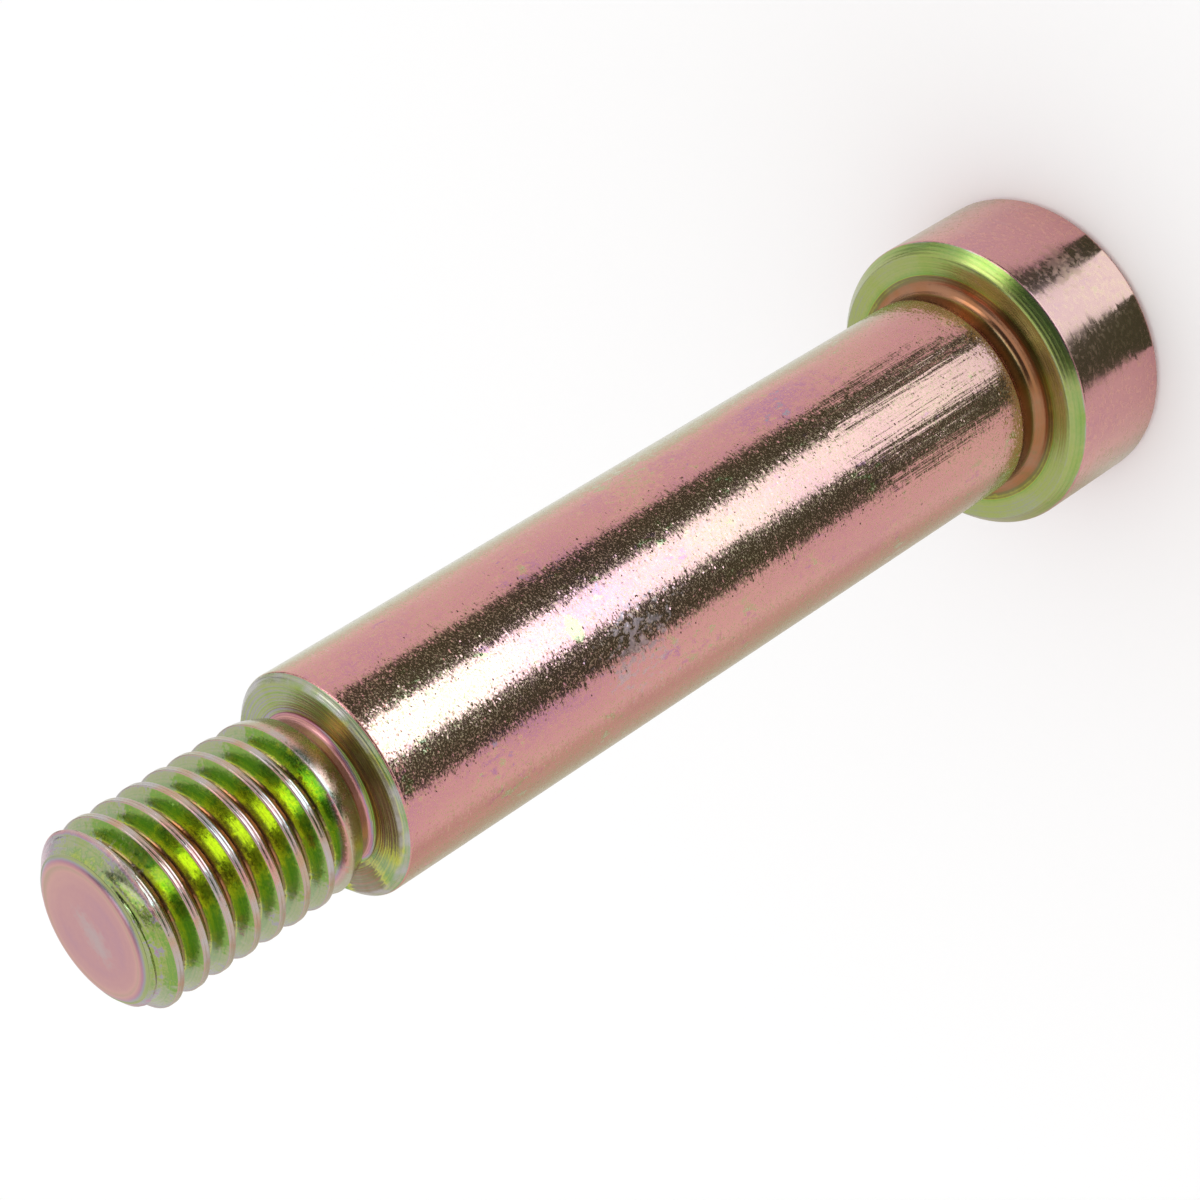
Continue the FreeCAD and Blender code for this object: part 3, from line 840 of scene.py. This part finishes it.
# a patch's place is an angle in degrees, a distance along from the shoulder's end face towards the
# head and one off the axis, in millimetres as its reach is. film, bare and rough change the finish
# there, and ragged and edge say how frayed and how soft its edge is.
Patch = namedtuple("Patch", "name angle along reach film bare rough ragged edge off_axis",
                   defaults=(0.0, 0.0, 0.0, 0.5, 0.3, 5.0))
SHOULDER_PATCHES = (
    # painted sheen: paler, thinner plating along one limb of the shoulder, where it turns away from the
    # camera
    Patch("painted sheen, upper limb", 8.0, 20.0, (4.0, 4.0, 60.0), -0.13, 0.0, 0.0, 0.2, 0.7),
    # painted sheen: tan, thinner plating along the opposite limb, where it turns away from the camera
    Patch("painted sheen, lower limb", -165.0, 20.0, (4.6, 4.6, 60.0), -0.08, 0.0, 0.0, 0.2, 0.8),
    Patch("mauve cloud", -40.0, 27.5, (2.2, 2.2, 4.0), 0.09, 0.0, 0.0, 0.8, 0.9),
    Patch("tan cloud", -38.0, 18.6, (1.5, 1.5, 1.7), -0.15, 0.0, 0.0, 1.6, 0.9),
    Patch("tan streak", -22.0, 23.0, (1.8, 1.8, 6.0), -0.12, 0.0, 0.0, 0.9, 0.9),
    Patch("mauve end", -38.0, 3.5, (2.2, 2.2, 4.0), 0.06, 0.0, 0.0, 0.8, 0.9),
    Patch("mauve side", -118.0, 7.5, (1.6, 1.6, 5.0), 0.07, 0.0, 0.0, 0.9, 0.9),
    Patch("grey stain", -115.0, 13.4, (1.4, 1.4, 1.4), 0.03, 0.45, 0.12, 3.0, 1.3),
    Patch("stain's tail", -107.0, 14.4, (0.9, 0.9, 1.2), 0.03, 0.45, 0.12, 3.0, 1.3),
    Patch("yellow patch", -91.0, 11.0, (0.7, 0.7, 0.45), -0.26, 0.0, 0.0, 0.3, 0.3),
    Patch("green end", -85.0, 2.5, (2.2, 2.2, 6.0), -0.10, 0.0, 0.0, 0.2, 0.8),
)
THREAD_PATCHES = (
    # painted sheen: paler, partly bare-looking plating along both limbs of the thread, where it turns
    # away from the camera
    Patch("painted sheen, upper thread limb", 12.0, -5.5, (2.9, 2.9, 9.0), -0.06, 0.35, 0.0, 0.3, 0.2, 3.6),
    Patch("painted sheen, lower thread limb", -185.0, -5.5, (2.75, 2.75, 9.0), -0.06, 0.35, 0.0, 0.3, 0.2, 3.6),
    # painted highlight: yellower plating along the thread's front, where the light strip's reflection
    # falls
    Patch("painted highlight tint", -88.5, -6.6, (2.6, 2.6, 5.0), 0.16, 0.0, 0.0, 0.4, 0.6, 3.6),
    Patch("streaked rim", -50.0, -11.2, (2.0, 2.0, 0.30), 0.16, 0.0, 0.0, 1.4, 0.8, 3.2),
    Patch("scuffed crest", -66.0, -10.3, (2.4, 2.4, 0.5), 0.0, 0.6, 0.12, 1.5, 0.8, 3.9),
    Patch("tan neck", -70.0, -1.6, (3.2, 3.2, 0.75), 0.15, 0.0, 0.08, 0.8, 0.7, 3.8),
    Patch("dark spot", -122.5, -2.65, (0.34, 0.34, 0.14), 0.34, 0.0, 0.0, 0.5, 0.3, 3.4),
    Patch("rolling fold", -122.0, -3.85, (0.55, 0.55, 0.09), 0.34, 0.0, 0.0, 0.4, 0.3, 3.4),
    Patch("crack", -149.0, -7.3, (0.30, 0.30, 0.40), 0.34, 0.0, 0.0, 1.6, 0.3, 3.5),
)
# painted reflection and shade: darker olive plating on the end face where the thread is mirrored in it,
# and at its lower end where shade falls
FACE_PAINTED_SHADE_PATCHES = (
    Patch("painted reflection of the thread", -110.0, 0.0, (5.3, 5.3, 0.25), 0.33, 0.0, 0.0, 0.06, 0.6),
    Patch("painted shade, lower end", 170.0, 0.0, (2.0, 2.0, 0.25), 0.38, 0.0, 0.0, 0.06, 0.6, 4.3),
)
HEAD_PATCHES = (
    Patch("rubbed spot", -72.0, 43.4, (1.4, 1.4, 1.4), -0.05, 0.0, 0.18, 1.8, 1.0, 7.15),
)
TIP_PATCHES = (
    Patch("pale swirl", 170.0, -11.4, (2.2, 1.1, 1.0), -0.03, 0.60, 0.0, 0.35, 0.95, 0.25),
)
DRAG_MARKS = Patch("drag marks", -88.0, 33.0, (4.6, 4.6, 6.5), rough=0.05, ragged=0.6, edge=0.5)
LOOKS = {
    "tip": look_of(((0.00, 0.47), (1.90, 0.49), (2.50, 0.42), (2.75, 0.28), (3.10, 0.74)),
                   patches=TIP_PATCHES, bare=0.18, clouds=0.30, streaks=0.0, flecks=0.0, tilt=0.01,
                   strokes=0.0, glint=0.0, grazing=0.05, rings=0.08, ring_size=0.6 * MM,
                   roughness=0.30, coarse=0.0),
    "thread": look_of(((0.000, 0.26), (0.035, 0.30), (0.045, 0.76), (0.140, 0.82), (0.400, 0.86),
                       (0.620, 0.94), (0.670, 1.12), (0.720, 1.18)),
                      bare=((0.00, 0.9), (0.035, 0.7), (0.06, 0.05), (0.72, 0.05)), from_blank=True,
                      by_height=((48.00, 48.30, 0.17), (57.00, 56.85, 0.76)),
                      worn=(57.00, 56.85, 0.45), patches=THREAD_PATCHES, clouds=0.16, streaks=0.0,
                      flecks=0.1, tilt=0.03, strokes=0.004, glint=0.05, grazing=0.13, rings=0.14,
                      roughness=0.19, coarse=0.08),
    "face": look_of(((3.10, 0.46), (3.25, 0.40), (3.40, 0.70), (3.70, 0.76), (4.60, 0.76),
                     (4.75, 0.78), (5.00, 0.78)), patches=FACE_PAINTED_SHADE_PATCHES,
                    bare=((3.10, 0.0), (3.40, 0.2), (4.60, 0.3), (4.70, 0.9), (5.00, 0.9)),
                    clouds=0.20, streaks=0.0, flecks=0.04, rings=0.30, ring_bump=0.5, tilt=0.01,
                    strokes=0.0, glint=0.0, grazing=0.05, roughness=0.24, coarse=0.0),
    "shoulder": look_of(0.47, patches=SHOULDER_PATCHES, drag=DRAG_MARKS, tilt=0.052),
    # the fillet's copper, from 4.80 to 5.45 mm, is partly painted shade and reflection under the head
    "bearing": look_of(((4.80, 1.20), (4.90, 1.25), (5.28, 1.25), (5.45, 1.13), (5.68, 1.11),
                        (5.71, 0.80), (5.95, 0.76), (6.60, 0.75), (7.15, 0.80)),
                       bare=((4.80, 0.1), (7.06, 0.1), (7.12, 0.9), (7.15, 0.9)),
                       clouds=0.16, streaks=0.0, flecks=0.04, rings=0.10, ring_bump=0.12,
                       tilt=0.01, strokes=0.0, glint=0.0, grazing=0.04, roughness=0.24, coarse=0.0),
    "head": look_of(0.46, patches=HEAD_PATCHES, clouds=0.24, bare=0.08, flecks=0.06,
                    grain=0.22 * MM, tilt=0.02, glint=0.08, roughness=0.22, coarse=0.12),
    "socket": look_of(0.78, clouds=0.3, tilt=0.01, strokes=0.0, glint=0.0, roughness=0.30, coarse=0.0),
}


class OBJECT_OT_bolt_skin(bpy.types.Operator):
    """Build the bolt's skin, which replaces the plain solid"""

    bl_idname = "object.bolt_skin"
    bl_label = "Bolt"

    def execute(self, context):
        size = context.scene.bolt_sizes
        groups = SimpleNamespace(plating=build_plating_group(context.scene.bolt_colours),
                                 crystals=build_crystal_group(), around=build_around_group(),
                                 patch=build_patch_group())
        finishes = [make_finish(part, groups, LOOKS[part], size) for part in PARTS]
        bolt = turn_bolt(size, finishes)
        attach(bolt, BODY)
        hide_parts(NODE)
        return {"FINISHED"}


FLOOR_SIZE = 3.0

# how pale the floor is to the camera and to the bolt, and what its far side loses in reflections
FLOOR_SEEN = 0.995
FLOOR_FELT = 0.93
DIM_SIDE = (94.0, 172.0, 10.0)
DIM_FLOOR = (0.24, 0.30, 0.36)

# cards on the floor: distances from the axis, each with the directions of the cards' four edges
CARD_EDGES = (
    (0.0073, -66.0, -75.0, -95.5, -117.0),
    (0.0125, -55.0, -71.0, -98.5, -128.0),
    (0.0200, -36.0, -66.5, -101.0, -135.0),
    (0.0400, -28.0, -65.0, -101.7, -138.5),
    (0.1400, -25.0, -64.3, -102.0, -140.0),
)
CARD_LEVEL = 0.1 * MM
CARD_STEPS = 12
DARK_CARD = (0.070, 0.110, 0.058)

# each card's name, its two edges, and its colours near the bolt and away from it
CARDS = (
    ("dark_card_right", 1, 2, DARK_CARD, DARK_CARD),
    ("light_strip", 2, 3, (1.30, 1.85, 1.75), (2.80, 4.00, 4.40)),
    ("dark_card_left", 3, 4, DARK_CARD, DARK_CARD),
)
CARD_NEAR = 0.013
CARD_FAR = 0.080

# the surroundings in reflections. Towards +Y they are a little darker.
SURROUND_RANGE = (0.2, 0.6)
SURROUND_LEVELS = (0.92, 0.86)

# cards at the sides: brightness, then the heights and the directions that each takes up, as two
# edges and how soft they are
SIDE_CARDS = (
    (0.15, (-0.30, 0.12, 0.04), (0.0, 60.0, 8.0)),
    (0.04, (0.14, 0.66, 0.05), (-126.0, -46.0, 5.0)),
    (3.0, (0.25, 0.52, 0.05), (-43.0, -12.0, 5.0)),
)

# a dark card overhead with a lamp in it: brightness, the height from which it shows, its X and Y
TOP_CARDS = (
    (0.05, (0.55, 0.65), (-0.28, 0.43, 0.05), (-0.20, 0.48, 0.08)),
    (1.6, (0.70, 0.78), (-0.150, 0.215, 0.03), (-0.08, 0.36, 0.06)),
)

# how bright the surroundings are everywhere but in reflections
DAYLIGHT = 1.02

# the view of the photograph, fitted to the bolt's outlines, in metres, degrees and millimetres
CAMERA_PLACE = (-0.0001004, -0.1092224, 0.1070240)
CAMERA_TURN = (-36.8836, 43.8460, -137.5654)
CAMERA_LENS = 94.62
CAMERA_SENSOR = 36.0
CAMERA_NEAREST = 0.005


def new_matt_material(name):
    """A material that reflects nothing sharply."""
    material, w, shader = new_material(name)
    w.feed(shader.inputs["Specular IOR Level"], 0.0)
    return material, w, shader


def glowing(name, near, far):
    """A light-giving material, of one colour near the bolt and another away from it."""
    material, w, shader = new_matt_material(name)
    glow = (*near, 1.0)
    if far != near:
        away = w.vector("LENGTH", w.node("ShaderNodeTexCoord").outputs["Object"])
        glow = w.blend(w.map(away, CARD_NEAR, CARD_FAR), glow, (*far, 1.0))
    for socket, value in (("Base Color", (0.0, 0.0, 0.0, 1.0)), ("Roughness", 1.0),
                          ("Emission Strength", 1.0), ("Emission Color", glow)):
        w.feed(shader.inputs[socket], value)
    return material


def add_card(name, first, second, near, far):
    """A card on the floor, between two of the edges, that shows only in the bolt's reflections."""
    points = []
    for distance, *edges in CARD_EDGES:
        start, end = edges[first - 1], edges[second - 1]
        for step in range(CARD_STEPS + 1):
            angle = math.radians(start + (end - start) * step / CARD_STEPS)
            points.append((distance * math.cos(angle), distance * math.sin(angle), CARD_LEVEL))
    across = CARD_STEPS + 1
    corners = (0, 1, across + 1, across)
    faces = [[r * across + s + corner for corner in corners]
             for r in range(len(CARD_EDGES) - 1) for s in range(CARD_STEPS)]
    mesh = bpy.data.meshes.new(name)
    mesh.from_pydata(points, [], faces)
    mesh.materials.append(glowing(name, near, far))
    card = bpy.data.objects.new(name, mesh)
    bpy.context.scene.collection.objects.link(card)
    for kind in ("camera", "diffuse", "transmission", "shadow"):
        setattr(card, f"visible_{kind}", False)


def add_floor():
    """The pale floor, which the camera sees as white."""
    half = FLOOR_SIZE / 2
    mesh = bpy.data.meshes.new("floor")
    mesh.from_pydata([(-half, -half, 0), (half, -half, 0), (half, half, 0), (-half, half, 0)], [],
                     [(0, 1, 2, 3)])
    material, w, shader = new_matt_material("floor")
    rays = w.node("ShaderNodeLightPath").outputs
    pale = w.map(rays["Is Camera Ray"], 0.0, 1.0, FLOOR_FELT, FLOOR_SEEN)
    x, y, _ = w.split(w.node("ShaderNodeTexCoord").outputs["Object"])
    dim = w.math("MULTIPLY", w.band(w.azimuth(x, y), *DIM_SIDE), rays["Is Glossy Ray"])
    w.feed(shader.inputs["Base Color"], w.node("ShaderNodeCombineColor", {
        number: w.math("SUBTRACT", pale, w.math("MULTIPLY", dim, less))
        for number, less in enumerate(DIM_FLOOR)}).outputs[0])
    w.feed(shader.inputs["Roughness"], 0.9)
    mesh.materials.append(material)
    floor = bpy.data.objects.new("floor", mesh)
    bpy.context.scene.collection.objects.link(floor)


def add_world():
    """White surroundings; the bolt also reflects dark cards and lamps at its sides and overhead."""
    world = bpy.data.worlds.new("studio")
    world.use_nodes = True
    world.node_tree.nodes.clear()
    w = Wiring(world.node_tree)
    x, y, z = w.split(w.node("ShaderNodeTexCoord").outputs["Generated"])
    azimuth = w.azimuth(x, y)
    level = w.map(y, *SURROUND_RANGE, *SURROUND_LEVELS)
    for brightness, heights, directions in SIDE_CARDS:
        mask = w.math("MULTIPLY", w.band(z, *heights), w.band(azimuth, *directions))
        level = w.mix(mask, level, brightness)
    for brightness, rise, across_x, across_y in TOP_CARDS:
        mask = w.math("MULTIPLY", w.band(x, *across_x), w.band(y, *across_y))
        mask = w.math("MULTIPLY", mask, w.map(z, *rise, smooth=True))
        level = w.mix(mask, level, brightness)
    reflected = w.node("ShaderNodeLightPath").outputs["Is Glossy Ray"]
    strength = w.mix(reflected, DAYLIGHT, level)
    back = w.node("ShaderNodeBackground", {"Color": (1.0, 1.0, 1.0, 1.0), "Strength": strength})
    w.node("ShaderNodeOutputWorld", {"Surface": back.outputs[0]})
    bpy.context.scene.world = world


def add_camera():
    """The camera, rolled so that the upright bolt lies across the frame."""
    camera = bpy.data.cameras.new("camera")
    camera.lens = CAMERA_LENS
    camera.sensor_width = CAMERA_SENSOR
    camera.clip_start = CAMERA_NEAREST
    eye = bpy.data.objects.new("camera", camera)
    eye.location = CAMERA_PLACE
    eye.rotation_euler = [math.radians(turn) for turn in CAMERA_TURN]
    bpy.context.scene.collection.objects.link(eye)
    bpy.context.scene.camera = eye


class OBJECT_OT_bolt_stage(bpy.types.Operator):
    """Build the floor, the light and the camera"""

    bl_idname = "object.bolt_stage"
    bl_label = "Studio"

    def execute(self, context):
        add_floor()
        for card in CARDS:
            add_card(*card)
        add_world()
        add_camera()
        context.scene.view_settings.view_transform = "Standard"
        return {"FINISHED"}


class VIEW3D_PT_bolt(bpy.types.Panel):
    """The bolt's pieces, sizes and colours"""

    bl_idname = "VIEW3D_PT_bolt"
    bl_label = "Shoulder bolt"
    bl_space_type = "VIEW_3D"
    bl_region_type = "UI"
    bl_category = "Shoulder bolt"

    def draw(self, context):
        layout = self.layout
        for operator in OPERATORS:
            layout.operator(operator.bl_idname)
        for group in (context.scene.bolt_sizes, context.scene.bolt_colours):
            column = layout.column()
            for name in group.bl_rna.properties.keys():
                if name not in {"rna_type", "name"}:
                    column.prop(group, name)


OPERATORS = (OBJECT_OT_bolt_skin, OBJECT_OT_bolt_stage)
CLASSES = (BoltSizes, BoltColours, *OPERATORS, VIEW3D_PT_bolt)


def register():
    for made in CLASSES:
        bpy.utils.register_class(made)
    bpy.types.Scene.bolt_sizes = PointerProperty(type=BoltSizes)
    bpy.types.Scene.bolt_colours = PointerProperty(type=BoltColours)


def unregister():
    del bpy.types.Scene.bolt_colours
    del bpy.types.Scene.bolt_sizes
    for made in reversed(CLASSES):
        bpy.utils.unregister_class(made)


def main():
    register()
    bpy.ops.object.bolt_skin()
    bpy.ops.object.bolt_stage()


if __name__ == "__main__":
    main()
